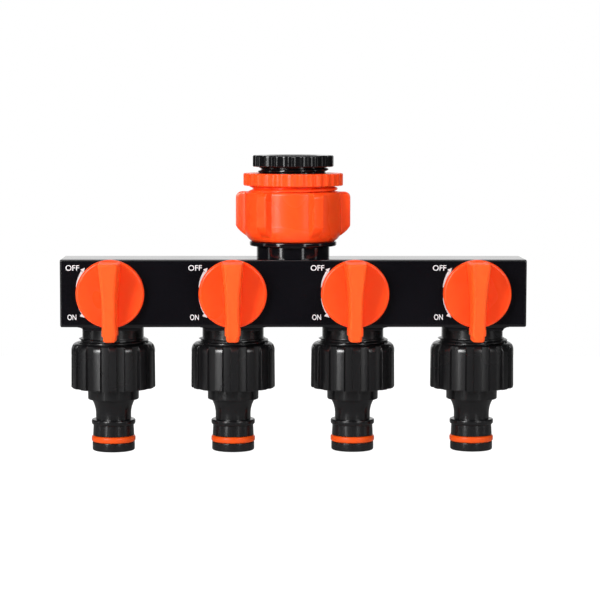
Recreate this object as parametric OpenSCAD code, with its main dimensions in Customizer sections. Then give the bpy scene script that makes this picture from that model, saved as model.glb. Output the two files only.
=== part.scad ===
// Four-way hose splitter: a tap manifold with quarter-turn valves and screw-on quick-connect nipples.
// Millimetres. Origin in the mouth of the tap inlet, +Z up out of the mouth, the knobs face -Y.

/* [Manifold bar] */
// Length of the bar from end to end
bar_length = 172; // [166:1:200]
// Height of the bar
bar_height = 25; // [25:0.5:32]
// Depth of the bar from front to back
bar_depth = 31; // [30:0.5:40]
// Wall of the hollow bar
bar_wall = 3; // [2:0.1:3.2]
// Rounding of the two long rear edges
bar_rear_round = 9.5; // [4:0.5:12]
// Rounding of the two long front edges
bar_front_round = 1; // [0.4:0.1:2]
// Distance between the two middle outlets
outlet_pitch = 45; // [40:0.5:46]
// Distance from the bar's end to the outlet next to it
outlet_margin = 18.5; // [17.5:0.5:20]
// Depth of the plug welded into each end
end_plug_depth = 5; // [3:0.5:7]

/* [Inlet neck] */
// Radius of the neck on top of the bar
neck_radius = 13.65; // [12.5:0.05:15.5]
// Height of the neck between the bar and its flange
neck_height = 4.35; // [2:0.05:10]
// Radius of the thin flange on the neck
flange_radius = 16.28; // [15:0.01:18]
// Thickness of the thin flange
flange_thickness = 1.65; // [1:0.05:4]
// Waterway radius through the inlet tailpiece
tailpiece_bore = 8.5; // [6:0.1:9.5]
// Wall of the tailpiece tube
tailpiece_wall = 2.6; // [1.5:0.1:3]
// Thickness of the tailpiece's head
tailpiece_head = 4; // [2:0.1:5]

/* [Inlet nut] */
// Height of the swivel nut
nut_height = 18.45; // [17:0.05:22]
// Radius of the nut between its lobes
nut_radius = 18.1; // [17.8:0.05:20]
// Radius over the lobes
nut_lobe_radius = 21.43; // [20.5:0.01:24]
// Width of one lobe
nut_lobe_width = 5.4; // [3:0.1:8]
// Number of lobes
nut_lobes = 6; // [4:1:8]
// Turn of the first lobe from the front, towards +X
nut_lobe_turn = 25; // [0:1:59]
// Rounding of a lobe's top corner
nut_lobe_round = 2; // [0.5:0.1:2.4]
// Height of the slope at a lobe's foot, from where the lobe leaves the side
nut_lobe_slope = 3.5; // [2:0.1:5]
// Height of a lobe's foot above the nut's underside
nut_lobe_rise = 2.4; // [1:0.1:5]
// Rounding of the nut's underside
nut_foot_round = 5; // [3:0.1:6]
// How far the foot's round is cut off flat below
nut_foot_flat = 0.6; // [0.2:0.1:1.2]

/* [Threads] */
// Crest radius of the 1 inch pipe thread
inch_crest = 16.62; // [16.4:0.01:16.7]
// Root radius of the 1 inch pipe thread
inch_root = 15.15; // [15:0.01:15.4]
// Pitch of the 1 inch pipe thread
inch_pitch = 2.309; // [2:0.001:2.6]
// Crest radius of the 3/4 inch pipe thread
three_quarter_crest = 13.22; // [13:0.01:13.3]
// Root radius of the 3/4 inch pipe thread
three_quarter_root = 12.06; // [11.8:0.01:12.3]
// Pitch of the 3/4 inch pipe thread
three_quarter_pitch = 1.814; // [1.6:0.001:2]
// Bore radius of the 1/2 inch tap socket
tap_bore = 9.32; // [9:0.01:9.6]
// Depth of the tap socket down to its washer
tap_depth = 10; // [8:0.5:12]
// Radial gap between a thread's crest and the bore around it
thread_gap = 0.1; // [0.06:0.01:0.3]

/* [Reducers] */
// Radius of the small reducer's flange
small_flange_radius = 15.12; // [14:0.01:17]
// Thickness of the small reducer's flange
small_flange_thickness = 4.3; // [3:0.1:6]
// Number of scallops round the small reducer
small_scallops = 18; // [12:1:24]
// Depth of one scallop
small_scallop_depth = 0.6; // [0.2:0.05:0.9]
// Share of the pitch that a scallop takes up
small_scallop_share = 0.75; // [0.5:0.05:0.9]
// Turn of one scallop from the front, towards +X
small_scallop_turn = 4; // [0:0.5:20]
// Thread that shows below the small reducer's flange
small_thread_shown = 2.4; // [1:0.1:4]
// Radius of the large reducer's flange
large_flange_radius = 18.6; // [18:0.01:21]
// Thickness of the large reducer's flange
large_flange_thickness = 4.6; // [3:0.1:6]
// Number of grip flutes round the large reducer
large_flutes = 32; // [24:1:40]
// Depth of one flute
large_flute_depth = 0.35; // [0.1:0.05:0.5]
// Share of the pitch that a flute takes up
large_flute_share = 0.75; // [0.5:0.05:0.9]
// Turn of one flute from the front, towards +X
large_flute_turn = 3; // [0:0.5:11]
// Thread that shows below the large reducer's flange
large_thread_shown = 2.25; // [1:0.05:3]
// Thickness of the lip under a reducer's washer
reducer_lip = 3.2; // [2:0.1:4]
// Waterway radius through the small reducer's lip
small_waterway = 6.5; // [5:0.1:7.5]
// Waterway radius through the large reducer's lip
large_waterway = 8.5; // [7:0.1:9.5]

/* [Washers] */
// Thickness of the flat washers
washer_thickness = 2; // [1.5:0.1:3]
// How far a washer's pocket is undercut beyond the bore above it
washer_undercut = 0.3; // [0.2:0.05:0.5]
// Radial gap around a washer
washer_gap = 0.1; // [0.05:0.05:0.2]

/* [Valves] */
// Radius of the valve ball
ball_radius = 7; // [6.5:0.1:7.2]
// Waterway radius through the ball
ball_bore = 4.5; // [3.5:0.1:4.6]
// Depth of the drive slot in the ball
slot_depth = 1.9; // [1.2:0.1:2]
// Gap between the ball and its seats
seat_gap = 0.06; // [0.03:0.01:0.1]
// Wall of a seat ring outside the ball's radius
seat_wall = 1; // [0.6:0.1:1.4]
// Height of the gap between the two seats
seat_spread = 6.2; // [5.8:0.1:7]
// Wall of the cup that holds the ball and its seats
cup_wall = 2.1; // [1.5:0.1:2.4]
// Thickness of the floor under the lower seat
cup_floor = 2.8; // [2:0.1:4]
// Radius of the valve stem
stem_radius = 3.5; // [3:0.1:3.8]
// Radius of the stem's collar
stem_collar_radius = 5; // [4.4:0.1:5.2]
// Side of the stem's square drive
stem_square = 4.8; // [4:0.1:4.9]
// Length of the stem's square drive inside the knob
stem_drive = 5; // [3:0.1:6.5]
// Thickness of the tongue that drives the ball
tongue_thickness = 2.5; // [1.6:0.1:3]
// Width of the tongue
tongue_width = 5.6; // [4:0.1:5.6]
// Radius of the bonnet's plug in the front wall
bonnet_radius = 8; // [6.5:0.1:8.5]
// Radius of the bonnet's flange
bonnet_flange_radius = 9.5; // [9:0.1:11]
// Thickness of the bonnet's flange
bonnet_flange = 1.2; // [0.8:0.1:1.6]
// Section diameter of the stem seal
seal_section = 1.6; // [1.2:0.1:2]
// Running clearance round the stem
running_clearance = 0.05; // [0.02:0.01:0.1]

/* [Knobs] */
// Radius of the knob's disc
knob_radius = 12.55; // [11:0.05:15]
// Thickness of the knob's disc
knob_thickness = 3; // [2:0.1:4]
// Gap between the bar's front and the knob
knob_gap = 0.45; // [0.3:0.05:1]
// How far the ridge's upper end stands out of the disc
ridge_height = 12.2; // [9:0.1:14]
// How far the tip of its tail stands out of the disc
tail_height = 4.9; // [3.5:0.1:8]
// Width of the ridge at its upper end
ridge_top_width = 8.6; // [6:0.1:10]
// Width of the ridge at the middle of the disc
ridge_waist_width = 6.3; // [5.8:0.1:8]
// Width of the ridge where it leaves the disc
ridge_foot_width = 5.7; // [5.2:0.1:7]
// Height of the ridge's upper end above the knob's centre
ridge_reach = 11.8; // [9:0.1:12.2]
// Width of the tail past the disc
tail_width = 6.1; // [5.2:0.1:7]
// Width of the tail's tip
tail_tip_width = 5.2; // [3:0.1:6]
// Distance of the step in the tail from the knob's centre
tail_step = 15.3; // [14:0.1:16.5]
// Distance of the tail's tip from the knob's centre
tail_reach = 17.4; // [17:0.1:22]

/* [Outlets] */
// Width of the pad under the bar's front edge
pad_width = 24; // [23.5:0.1:28]
// Width of the pad at its underside
pad_foot_width = 19.8; // [17:0.1:23]
// Height of the pad
pad_height = 1.3; // [0.6:0.1:2.5]
// Depth of the pad from the bar's front
pad_depth = 9; // [5:0.5:12]
// Radius of the neck below the bar
outlet_neck_radius = 11.5; // [10.8:0.05:12]
// Length of the neck from the bar down to the thread
outlet_neck_length = 4.9; // [3:0.1:8]
// Waterway radius in the threaded spigot
spigot_bore = 8.5; // [6:0.1:9.5]

/* [Connectors] */
// Thread that shows above the connector's nut
connector_thread_shown = 1.9; // [0.5:0.1:4]
// Height of the connector's nut
connector_height = 17.2; // [15:0.1:22]
// Radius of the nut over its ribs
connector_radius = 15.75; // [15.2:0.05:17]
// Number of ribs round the nut
connector_ribs = 16; // [8:1:20]
// Height of a rib
connector_rib_height = 0.6; // [0.2:0.05:0.8]
// Width of one rib
connector_rib_width = 3; // [1.5:0.1:4]
// Rounding of the nut's shoulder
connector_round = 2.6; // [1:0.1:3]
// Number of bevels that make up the rounded shoulder
connector_bevels = 3; // [2:1:6]
// Thickness of the nut's floor
connector_floor = 3; // [2:0.1:5]
// Waterway radius through the nipple
nipple_bore = 4.7; // [3.5:0.1:5]
// Radius of the collar under the nut
collar_radius = 9.58; // [9:0.01:12]
// Height of the collar
collar_height = 3.9; // [2:0.1:6]
// Radius of the nipple where it leaves the collar
flare_radius = 8.2; // [7.5:0.1:9]
// Height of the hollow flare
flare_height = 5.6; // [3:0.1:7]
// Radius of the nipple's narrow neck
narrow_radius = 6.6; // [6.2:0.05:7]
// Height of the narrow neck
narrow_height = 2; // [1:0.1:5]
// Radius of the retaining ring
ring_radius = 8.15; // [7.9:0.01:8.6]
// Height of the retaining ring
ring_height = 2.2; // [1.5:0.1:3]
// Radius of the land between the ring and the seal
land_radius = 7.65; // [7.4:0.01:7.9]
// Height of the land
land_height = 4.4; // [2:0.1:7]
// Section diameter of the nipple's seal
oring_section = 1.95; // [1.6:0.05:2.4]
// Outer radius of the nipple's seal
oring_radius = 8.15; // [8.1:0.01:8.4]
// Radius of the nipple's tip
tip_radius = 7.94; // [7.8:0.01:8.05]
// Height of the nipple's tip below the seal
tip_height = 3.6; // [2:0.1:6]
// Chamfer on the tip
tip_chamfer = 0.5; // [0.2:0.1:0.8]

/* [Hidden] */
$fn = 96;
// Gap of a glued or welded slip fit
fit_gap = 0.05;
// Axial play of the swivel nut, above and below its lip
swivel_gap = 0.1;
// How far a cutting shape runs past what it cuts
past = 1;
// Where a thread's ridge leaves the root, meets the crest and returns, in shares of the pitch
ridge_start = 0.1;
crest_start = 0.4;
crest_end = 0.6;
ridge_end = 0.9;

OUTLETS = [1, 2, 3, 4];
INLET_NODES = [
    "manifold_body", "end_plug_left", "end_plug_right", "inlet_tailpiece", "inlet_nut",
    "inlet_washer", "large_reducer", "large_reducer_washer", "small_reducer", "tap_washer"
];
OUTLET_NODES = [
    "valve_housing", "lower_seat", "upper_seat", "valve_ball", "valve_stem", "stem_seal",
    "valve_bonnet", "knob", "connector", "connector_washer", "connector_oring"
];

// Places of the outlets along the bar
outer_x = bar_length / 2 - outlet_margin;
OUTLET_X = [-outer_x, -outlet_pitch / 2, outlet_pitch / 2, outer_x];
function outlet_x(i) = OUTLET_X[i - 1];

// Heights, from the mouth of the inlet downwards
small_flange_bottom = -small_flange_thickness;
large_top = small_flange_bottom - small_thread_shown;
large_flange_bottom = large_top - large_flange_thickness;
nut_top = large_flange_bottom - large_thread_shown;
nut_bottom = nut_top - nut_height;
flange_top = nut_bottom - swivel_gap;
flange_bottom = flange_top - flange_thickness;
bar_top = flange_bottom - neck_height;
bar_bottom = bar_top - bar_height;
valve_z = (bar_top + bar_bottom) / 2;
tap_washer_top = -tap_depth;
small_end = tap_washer_top - washer_thickness - reducer_lip;
large_end = small_end - washer_thickness - reducer_lip;
tailpiece_top = large_end - washer_thickness;
head_bottom = tailpiece_top - tailpiece_head;
lip_top = head_bottom - swivel_gap;
thread_top = bar_bottom - outlet_neck_length;
connector_top = thread_top - connector_thread_shown;
connector_bottom = connector_top - connector_height;
spigot_end = connector_bottom + connector_floor + washer_thickness;
collar_bottom = connector_bottom - collar_height;
narrow_top = collar_bottom - flare_height;
ring_top = narrow_top - narrow_height;
ring_bottom = ring_top - ring_height;
groove_height = oring_section + 2 * fit_gap;
groove_top = ring_bottom - land_height;
groove_bottom = groove_top - groove_height;
tip_bottom = groove_bottom - tip_height;

// Radii that one piece takes from another
tailpiece_radius = tailpiece_bore + tailpiece_wall;
inch_bore = inch_crest + thread_gap;
three_quarter_bore = three_quarter_crest + thread_gap;
three_quarter_pocket = three_quarter_bore + washer_undercut;
tap_pocket = tap_bore + washer_undercut;
seat_radius = ball_radius + seat_wall;
cup_bore = seat_radius + fit_gap;
cup_radius = cup_bore + cup_wall;
waterway = ball_bore + seat_gap;
seat_reach = sqrt(ball_radius * ball_radius - waterway * waterway) + seat_wall;
seal_groove = stem_radius + running_clearance + seal_section + fit_gap;
groove_radius = oring_radius - oring_section - fit_gap;

// Depths, from the front of the bar towards the valve's axis
front_y = -bar_depth / 2;
bonnet_back = -cup_radius - 2 * running_clearance;
collar_front = bonnet_back + running_clearance;
collar_back = -cup_bore - 2 * running_clearance;
tongue_end = slot_depth - ball_radius - running_clearance;
knob_back = front_y - knob_gap;
disc_front = knob_back - knob_thickness;
drive_end = knob_back - stem_drive;
seal_y = (front_y + bonnet_flange + bonnet_back) / 2;

// Straight round bar from one height down to another
module post(radius, top, bottom) {
    translate([0, 0, bottom])
        cylinder(r = radius, h = top - bottom);
}

// Round bar along the valve's stem, from a front depth to a back depth
module stem_post(radius, front, back) {
    translate([0, back, valve_z])
        rotate([90, 0, 0])
            cylinder(r = radius, h = back - front);
}

// Flat ring between two heights
module ring(outer, inner, top, bottom) {
    difference() {
        post(outer, top, bottom);
        post(inner, top + past, bottom - past);
    }
}

// Threaded bar: plain at the root, with one ridge for each turn of the thread
module threaded_post(crest, root, pitch, top, bottom) {
    turns = floor((top - bottom) / pitch);
    ridge = [[root, ridge_start], [crest, crest_start], [crest, crest_end], [root, ridge_end]];
    rotate_extrude()
        polygon(concat(
            [[0, top], [root, top]],
            [for (turn = [0 : turns - 1], p = ridge) [p[0], top - (turn + p[1]) * pitch]],
            [[root, bottom], [0, bottom]]
        ));
}

// The bar's cross-section, drawn with depth across and height up
module bar_section() {
    difference() {
        translate([front_y, bar_bottom])
            square([bar_depth, bar_height]);
        for (corner = [
            [front_y, bar_bottom, 1, 1, bar_front_round], [front_y, bar_top, 1, -1, bar_front_round],
            [-front_y, bar_bottom, -1, 1, bar_rear_round], [-front_y, bar_top, -1, -1, bar_rear_round]
        ])
            corner_cut(corner[0], corner[1], corner[2], corner[3], corner[4]);
    }
}

// The hollow's cross-section, one wall inside the bar's
module hollow_section(gap) {
    inset = bar_wall + gap;
    difference() {
        translate([front_y + inset, bar_bottom + inset])
            square([bar_depth - 2 * inset, bar_height - 2 * inset]);
        for (side = [[bar_bottom + inset, 1], [bar_top - inset, -1]])
            corner_cut(-front_y - inset, side[0], -1, side[1], bar_rear_round - inset);
    }
}

// What rounding takes off one corner: the square at the corner less a circle
module corner_cut(x, z, across, up, radius) {
    if (radius > 0)
        translate([x, z])
            mirror([across < 0 ? 1 : 0, 0])
                mirror([0, up < 0 ? 1 : 0])
                    difference() {
                        translate([-past, -past])
                            square(radius + past);
                        translate([radius, radius])
                            circle(radius);
                    }
}

// Extrusion of a depth-and-height outline along the bar
module along_bar(from, to) {
    translate([from, 0, 0])
        rotate([90, 0, 90])
            linear_extrude(to - from)
                children();
}

// Black bar with its inlet neck, thin flange and the pads under its front edge
module manifold_body() {
    color("#17181b")
        difference() {
            union() {
                along_bar(-bar_length / 2, bar_length / 2)
                    bar_section();
                post(neck_radius, flange_top, bar_top - past);
                post(flange_radius, flange_top, flange_bottom);
                for (i = OUTLETS)
                    translate([outlet_x(i), front_y + pad_depth, bar_bottom])
                        rotate([90, 0, 0])
                            linear_extrude(pad_depth)
                                pad_outline();
            }
            along_bar(-bar_length / 2 - past, bar_length / 2 + past)
                hollow_section(0);
            post(tailpiece_radius + fit_gap, flange_top + past, bar_top - bar_wall - past);
            for (i = OUTLETS)
                translate([outlet_x(i), 0, 0]) {
                    post(cup_radius + fit_gap, bar_bottom + bar_wall + past, bar_bottom - past);
                    post(outlet_neck_radius + fit_gap, bar_bottom, bar_bottom - pad_height - past);
                    stem_post(bonnet_radius + fit_gap, front_y - past, front_y + bar_wall + past);
                    stem_post(bonnet_flange_radius + fit_gap, front_y - past, front_y + bonnet_flange);
                }
        }
}

// Outline of the pad under the bar's front edge, rooted in the bar's wall, narrow at the foot
module pad_outline() {
    root = bar_wall / 2;
    polygon([
        [-pad_width / 2, root], [-pad_width / 2, 0], [-pad_foot_width / 2, -pad_height],
        [pad_foot_width / 2, -pad_height], [pad_width / 2, 0], [pad_width / 2, root]
    ]);
}

// Plug welded into one end of the hollow, flush with the bar's end
module end_plug(side) {
    color("#17181b")
        along_bar(
            side < 0 ? -bar_length / 2 : bar_length / 2 - end_plug_depth,
            side < 0 ? -bar_length / 2 + end_plug_depth : bar_length / 2
        )
            hollow_section(fit_gap);
}

// Headed tube welded into the neck; its head traps the swivel nut
module inlet_tailpiece() {
    color("#202124")
        difference() {
            union() {
                post(inch_root, tailpiece_top, head_bottom);
                post(tailpiece_radius, tailpiece_top, bar_top - bar_wall);
            }
            post(tailpiece_bore, tailpiece_top + past, bar_top - bar_wall - past);
        }
}

// Orange swivel nut with grip lobes and an inner lip under the tailpiece's head
module inlet_nut() {
    color("#f2561f")
        difference() {
            union() {
                rotate_extrude()
                    nut_outline();
                intersection() {
                    rotate_extrude()
                        lobe_outline();
                    for (lobe = [0 : nut_lobes - 1])
                        rotate([0, 0, nut_lobe_turn - 90 + lobe * 360 / nut_lobes])
                            translate([0, -nut_lobe_width / 2, nut_bottom])
                                cube([nut_lobe_radius + past, nut_lobe_width, nut_height]);
                }
            }
            post(inch_bore, nut_top + past, lip_top);
            post(tailpiece_radius + swivel_gap, nut_top, nut_bottom - past);
        }
}

// Half outline of the nut's round body: straight side, rounded foot cut off flat below
module nut_outline() {
    round_z = nut_bottom + nut_foot_round - nut_foot_flat;
    translate([0, round_z])
        square([nut_radius, nut_top - round_z]);
    intersection() {
        translate([nut_radius - nut_foot_round, round_z])
            circle(nut_foot_round);
        translate([0, nut_bottom])
            square([nut_radius, nut_height]);
    }
    translate([0, nut_bottom])
        square([nut_radius - nut_foot_round, nut_height]);
}

// Half outline of a lobe: rounded top corner, upright side, sloping foot
module lobe_outline() {
    foot = nut_bottom + nut_lobe_rise;
    polygon([
        [0, foot], [nut_radius, foot], [nut_lobe_radius, foot + nut_lobe_slope],
        [nut_lobe_radius, nut_top - nut_lobe_round], [nut_lobe_radius - nut_lobe_round, nut_top],
        [0, nut_top]
    ]);
    translate([nut_lobe_radius - nut_lobe_round, nut_top - nut_lobe_round])
        circle(nut_lobe_round);
}

// Flat rubber washer between the large reducer and the tailpiece
module inlet_washer() {
    color("#2b2b2b")
        ring(inch_root, tailpiece_bore, large_end, tailpiece_top);
}

// Orange reducing ring: 1 inch thread outside, 3/4 inch socket inside
module large_reducer() {
    color("#f2561f")
        difference() {
            union() {
                translate([0, 0, large_flange_bottom])
                    linear_extrude(large_flange_thickness)
                        scalloped_disc(
                            large_flange_radius, large_flutes, large_flute_depth, large_flute_share,
                            large_flute_turn
                        );
                threaded_post(inch_crest, inch_root, inch_pitch, large_flange_bottom, large_end);
            }
            post(three_quarter_bore, large_top + past, small_end);
            post(three_quarter_pocket, small_end, small_end - washer_thickness);
            post(large_waterway, small_end, large_end - past);
        }
}

// Round outline with shallow hollows for the fingers
module scalloped_disc(radius, count, depth, share, turn) {
    half_width = radius * sin(180 / count) * share;
    hollow = (half_width * half_width / depth + depth) / 2;
    difference() {
        circle(radius);
        for (k = [0 : count - 1])
            rotate(turn - 90 + k * 360 / count)
                translate([radius - depth + hollow, 0])
                    circle(hollow);
    }
}

// Flat rubber washer at the bottom of the large reducer's socket
module large_reducer_washer() {
    color("#2b2b2b")
        ring(three_quarter_pocket - washer_gap, large_waterway, small_end, small_end - washer_thickness);
}

// Black reducing ring: 3/4 inch thread outside, 1/2 inch tap socket inside
module small_reducer() {
    color("#202124")
        difference() {
            union() {
                translate([0, 0, small_flange_bottom])
                    linear_extrude(small_flange_thickness)
                        scalloped_disc(
                            small_flange_radius, small_scallops, small_scallop_depth, small_scallop_share,
                            small_scallop_turn
                        );
                threaded_post(
                    three_quarter_crest, three_quarter_root, three_quarter_pitch,
                    small_flange_bottom, small_end
                );
            }
            post(tap_bore, past, tap_washer_top);
            post(tap_pocket, tap_washer_top, tap_washer_top - washer_thickness);
            post(small_waterway, tap_washer_top, small_end - past);
        }
}

// Flat rubber washer at the bottom of the tap socket
module tap_washer() {
    color("#2b2b2b")
        ring(tap_pocket - washer_gap, small_waterway, tap_washer_top, tap_washer_top - washer_thickness);
}

// Cup for the ball inside the bar, with the neck and 3/4 inch spigot below it in one moulding
module valve_housing() {
    color("#202124")
        difference() {
            union() {
                post(cup_radius, valve_z + seat_reach, bar_bottom);
                post(outlet_neck_radius, bar_bottom, thread_top);
                threaded_post(
                    three_quarter_crest, three_quarter_root, three_quarter_pitch, thread_top, spigot_end
                );
            }
            post(cup_bore, valve_z + seat_reach + past, valve_z - seat_reach);
            post(waterway, valve_z, spigot_end);
            post(spigot_bore, valve_z - seat_reach - cup_floor, spigot_end - past);
            stem_post(stem_collar_radius + 2 * running_clearance, -cup_radius - past, 0);
        }
}

// Seat ring on one side of the ball, hollowed to the ball's shape
module seat(up) {
    color("#e8e6df")
        difference() {
            if (up > 0)
                post(seat_radius, valve_z + seat_reach, valve_z + seat_spread / 2);
            else
                post(seat_radius, valve_z - seat_spread / 2, valve_z - seat_reach);
            translate([0, 0, valve_z])
                sphere(ball_radius + seat_gap);
            post(waterway, valve_z + seat_reach + past, valve_z - seat_reach - past);
        }
}

// Ball with an upright waterway and a slot for the stem's tongue
module valve_ball() {
    slot_height = tongue_thickness + 2 * running_clearance;
    color("#e8e6df")
        difference() {
            translate([0, 0, valve_z])
                sphere(ball_radius);
            post(ball_bore, valve_z + ball_radius + past, valve_z - ball_radius - past);
            translate([-ball_radius, -ball_radius - past, valve_z - slot_height / 2])
                cube([2 * ball_radius, slot_depth + past, slot_height]);
        }
}

// Stem: tongue in the ball's slot, collar behind the bonnet, round journal, square drive in the knob
module valve_stem() {
    color("#303236")
        union() {
            stem_post(stem_collar_radius, collar_front, collar_back);
            stem_post(stem_radius, knob_back + knob_gap / 2, collar_front);
            translate([-tongue_width / 2, collar_back, valve_z - tongue_thickness / 2])
                cube([tongue_width, tongue_end - collar_back, tongue_thickness]);
            translate([-stem_square / 2, drive_end, valve_z - stem_square / 2])
                cube([stem_square, knob_back + knob_gap / 2 - drive_end, stem_square]);
        }
}

// Rubber ring round the stem, in the bonnet's groove
module stem_seal() {
    color("#2b2b2b")
        translate([0, seal_y, valve_z])
            rotate([90, 0, 0])
                rotate_extrude()
                    translate([stem_radius + running_clearance + seal_section / 2, 0])
                        circle(seal_section / 2);
}

// Bonnet set in the front wall, flush with it, that carries the stem and its seal
module valve_bonnet() {
    half_groove = seal_section / 2 + fit_gap;
    color("#202124")
        difference() {
            union() {
                stem_post(bonnet_flange_radius, front_y, front_y + bonnet_flange);
                stem_post(bonnet_radius, front_y, bonnet_back);
            }
            stem_post(stem_radius + running_clearance, front_y - past, bonnet_back + past);
            stem_post(seal_groove, seal_y - half_groove, seal_y + half_groove);
        }
}

// Orange lever knob: thin disc with a ridge that runs on past it as a tail
module knob() {
    socket = stem_square + 2 * running_clearance;
    color("#f2561f")
        difference() {
            union() {
                stem_post(knob_radius, disc_front, knob_back);
                translate([0, (disc_front + knob_back) / 2, valve_z])
                    rotate([90, 0, 0])
                        intersection() {
                            linear_extrude(knob_thickness / 2 + ridge_height + past)
                                ridge_outline();
                            rotate([90, 0, 90])
                                linear_extrude(ridge_top_width + tail_width + 2 * past, center = true)
                                    ridge_side();
                        }
            }
            translate([-socket / 2, drive_end - running_clearance, valve_z - socket / 2])
                cube([socket, stem_drive + running_clearance + past, socket]);
        }
}

// The ridge seen from the front, knob's centre at the origin, tail down
module ridge_outline() {
    right_side = [
        [ridge_top_width / 2, ridge_reach], [ridge_waist_width / 2, 0],
        [ridge_foot_width / 2, -knob_radius], [tail_width / 2, -knob_radius],
        [tail_width / 2, -tail_step], [tail_tip_width / 2, -tail_step],
        [tail_tip_width / 2, -tail_reach]
    ];
    left_side = [for (k = [len(right_side) - 1 : -1 : 0]) [-right_side[k][0], right_side[k][1]]];
    polygon(concat(right_side, left_side));
}

// The ridge seen from the side, foot on the disc's middle: it falls from its upper end to the tail's tip
module ridge_side() {
    fall = (ridge_height - tail_height) / (ridge_reach + tail_reach) * past;
    polygon([
        [-tail_reach - past, -past], [ridge_reach + past, -past],
        [ridge_reach + past, knob_thickness / 2 + ridge_height + fall],
        [-tail_reach - past, knob_thickness / 2 + tail_height - fall]
    ]);
}

// Black connector: ribbed nut, collar and quick-connect nipple in one moulding
module connector() {
    color("#28292b")
        difference() {
            union() {
                intersection() {
                    translate([0, 0, connector_bottom])
                        linear_extrude(connector_height)
                            ribbed_disc();
                    rotate_extrude()
                        connector_nut_outline();
                }
                rotate_extrude()
                    nipple_outline();
            }
            post(three_quarter_bore, connector_top + past, spigot_end);
            post(three_quarter_pocket, spigot_end, spigot_end - washer_thickness);
            post(nipple_bore, spigot_end, tip_bottom - past);
        }
}

// Round outline with straight grip ribs
module ribbed_disc() {
    circle(connector_radius - connector_rib_height);
    intersection() {
        circle(connector_radius);
        for (rib = [0 : connector_ribs - 1])
            rotate(rib * 360 / connector_ribs)
                translate([0, -connector_rib_width / 2])
                    square([connector_radius + past, connector_rib_width]);
    }
}

// Half outline of the nut, its shoulder rounded in bevels
module connector_nut_outline() {
    round_r = connector_radius - connector_round;
    round_z = connector_top - connector_round;
    polygon(concat(
        [[0, connector_bottom], [connector_radius, connector_bottom]],
        [for (bevel = [0 : connector_bevels])
            let (a = 90 * bevel / connector_bevels)
            [round_r + connector_round * cos(a), round_z + connector_round * sin(a)]],
        [[0, connector_top]]
    ));
}

// Half outline of the collar and nipple, from the nut's underside to the tip
module nipple_outline() {
    flare_step = flare_radius - narrow_radius;
    flare_curve = (flare_height * flare_height / flare_step + flare_step) / 2;
    difference() {
        polygon([
            [0, connector_bottom + past], [collar_radius, connector_bottom + past],
            [collar_radius, collar_bottom], [flare_radius, collar_bottom],
            [flare_radius, narrow_top], [narrow_radius, narrow_top], [narrow_radius, ring_top],
            [ring_radius, ring_top], [ring_radius, ring_bottom], [land_radius, ring_bottom],
            [land_radius, groove_top], [groove_radius, groove_top], [groove_radius, groove_bottom],
            [tip_radius, groove_bottom], [tip_radius, tip_bottom + tip_chamfer],
            [tip_radius - tip_chamfer, tip_bottom], [0, tip_bottom]
        ]);
        intersection() {
            translate([narrow_radius + flare_curve, narrow_top])
                circle(flare_curve);
            translate([narrow_radius, narrow_top])
                square([collar_radius, flare_height]);
        }
    }
}

// Flat rubber washer between the spigot's end and the connector's floor
module connector_washer() {
    color("#2b2b2b")
        ring(three_quarter_pocket - washer_gap, nipple_bore, spigot_end, spigot_end - washer_thickness);
}

// Orange rubber ring in the nipple's groove
module connector_oring() {
    color("#e8581b")
        translate([0, 0, (groove_top + groove_bottom) / 2])
            rotate_extrude()
                translate([oring_radius - oring_section / 2, 0])
                    circle(oring_section / 2);
}

manifold_body();
end_plug(-1);  // end_plug_left
end_plug(1);  // end_plug_right
inlet_tailpiece();
inlet_nut();
inlet_washer();
large_reducer();
large_reducer_washer();
small_reducer();
tap_washer();
for (i = OUTLETS)
    translate([outlet_x(i), 0, 0]) {
        valve_housing();
        seat(-1);
        seat(1);
        valve_ball();
        valve_stem();
        stem_seal();
        valve_bonnet();
        knob();
        connector();
        connector_washer();
        connector_oring();
    }
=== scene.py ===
import math

import bmesh
import bpy
from mathutils import Matrix, Vector


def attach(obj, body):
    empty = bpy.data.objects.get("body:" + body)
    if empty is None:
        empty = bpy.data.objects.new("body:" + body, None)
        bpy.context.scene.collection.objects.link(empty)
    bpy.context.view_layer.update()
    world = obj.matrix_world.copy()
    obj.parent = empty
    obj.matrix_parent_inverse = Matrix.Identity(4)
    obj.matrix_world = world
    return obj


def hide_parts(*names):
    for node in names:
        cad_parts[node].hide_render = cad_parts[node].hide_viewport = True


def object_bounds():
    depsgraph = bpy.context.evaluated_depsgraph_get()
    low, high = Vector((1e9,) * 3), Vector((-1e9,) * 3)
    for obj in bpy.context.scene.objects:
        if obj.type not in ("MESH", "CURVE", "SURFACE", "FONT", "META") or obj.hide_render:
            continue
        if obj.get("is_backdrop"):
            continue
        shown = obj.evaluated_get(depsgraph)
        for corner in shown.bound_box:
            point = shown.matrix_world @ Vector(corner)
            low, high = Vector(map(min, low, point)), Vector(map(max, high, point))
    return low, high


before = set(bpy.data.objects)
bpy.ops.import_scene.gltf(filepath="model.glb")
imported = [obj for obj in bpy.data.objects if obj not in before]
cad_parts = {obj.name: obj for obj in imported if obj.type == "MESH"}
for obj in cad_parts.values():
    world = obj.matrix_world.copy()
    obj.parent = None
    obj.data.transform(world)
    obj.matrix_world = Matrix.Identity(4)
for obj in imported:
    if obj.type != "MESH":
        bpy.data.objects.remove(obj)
cad_low, cad_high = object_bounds()

# Camera.
# A long lens looks at the knobs from a little left of the middle, just above the inlet's mouth and
# slightly down, so that the bar's top shows as a thin strip and the round pieces as flat ellipses.
CAMERA_PLACE = (-0.0172, -0.8, 0.0150)
CAMERA_LENS = 128.3
CAMERA_YAW = -1.42
CAMERA_DIP = 4.95
CAMERA_ROLL = 0.1

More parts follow.
